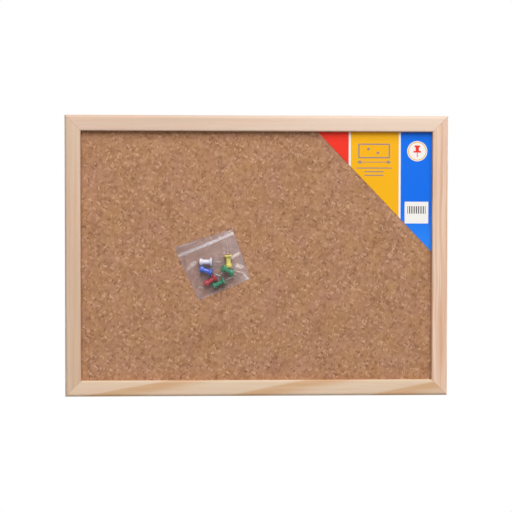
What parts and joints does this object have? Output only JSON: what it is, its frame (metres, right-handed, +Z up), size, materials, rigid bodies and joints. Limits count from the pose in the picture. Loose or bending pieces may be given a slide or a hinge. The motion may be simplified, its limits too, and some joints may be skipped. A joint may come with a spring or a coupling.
{
  "type": "framed cork pin board",
  "caption": "Wall-hung cork board in a mitred pine frame, with a plain corner label, D-ring hangers behind and a grip-seal sachet of push pins stuck to the cork.",
  "frame": {"origin": "middle of the top rail's back face, on the wall plane", "axes": "+Z up, +X to the right as seen from the front, +Y into the wall; the cork faces -Y"},
  "size_m": [0.4, 0.0276, 0.293],
  "materials": {
    "pine": "planed and lightly sealed pine",
    "cork": "sanded agglomerated cork",
    "softboard": "raw fibre",
    "hardboard": "smooth pressed fibre",
    "fastener_steel": "bright steel strip",
    "hanger_zinc": "zinc plated",
    "label_card": "gloss printed card",
    "glue": "soft clear glue",
    "clear_film": "clear film",
    "clear_zip": "clear moulded strip",
    "pin_white": "gloss moulding",
    "pin_blue": "gloss moulding",
    "pin_red": "gloss moulding",
    "pin_green": "gloss moulding",
    "pin_yellow": "gloss moulding",
    "needle_steel": "polished steel"
  },
  "bodies": {
    "board": {"rail_top": "pine", "rail_bottom": "pine", "rail_left": "pine", "rail_right": "pine", "v_nail_bottom_left_1": "fastener_steel", "v_nail_bottom_left_2": "fastener_steel", "v_nail_bottom_right_1": "fastener_steel", "v_nail_bottom_right_2": "fastener_steel", "v_nail_top_left_1": "fastener_steel", "v_nail_top_left_2": "fastener_steel", "v_nail_top_right_1": "fastener_steel", "v_nail_top_right_2": "fastener_steel", "cork_sheet": "cork", "softboard_core": "softboard", "hardboard_back": "hardboard", "hanger_strap_left": "hanger_zinc", "hanger_rivet_left": "hanger_zinc", "hanger_strap_right": "hanger_zinc", "hanger_rivet_right": "hanger_zinc", "corner_label": "label_card"},
    "ring_left": {"hanger_ring_left": "hanger_zinc"},
    "ring_right": {"hanger_ring_right": "hanger_zinc"},
    "sachet": {"sachet_glue_dot": "glue", "sachet_film_back": "clear_film", "sachet_film_front": "clear_film", "sachet_zip_channel": "clear_zip", "sachet_zip_rib": "clear_zip", "pin_head_white": "pin_white", "pin_head_blue": "pin_blue", "pin_head_red": "pin_red", "pin_head_green_low": "pin_green", "pin_head_yellow": "pin_yellow", "pin_head_green_right": "pin_green", "pin_needle_white": "needle_steel", "pin_needle_blue": "needle_steel", "pin_needle_red": "needle_steel", "pin_needle_green_low": "needle_steel", "pin_needle_yellow": "needle_steel", "pin_needle_green_right": "needle_steel"}
  },
  "joints": [
    {"name": "ring_left_swing", "type": "hinge", "parent": "board", "child": "ring_left", "pos_m": [-0.1, -0.00215, -0.04225], "axis": [1, 0, 0], "range_deg": [0, 180]},
    {"name": "ring_right_swing", "type": "hinge", "parent": "board", "child": "ring_right", "pos_m": [0.1, -0.00215, -0.04225], "axis": [1, 0, 0], "range_deg": [0, 180]},
    {"name": "sachet_lift", "type": "slide", "parent": "board", "child": "sachet", "axis": [0, -1, 0], "range_m": [0, 0.06]}
  ]
}
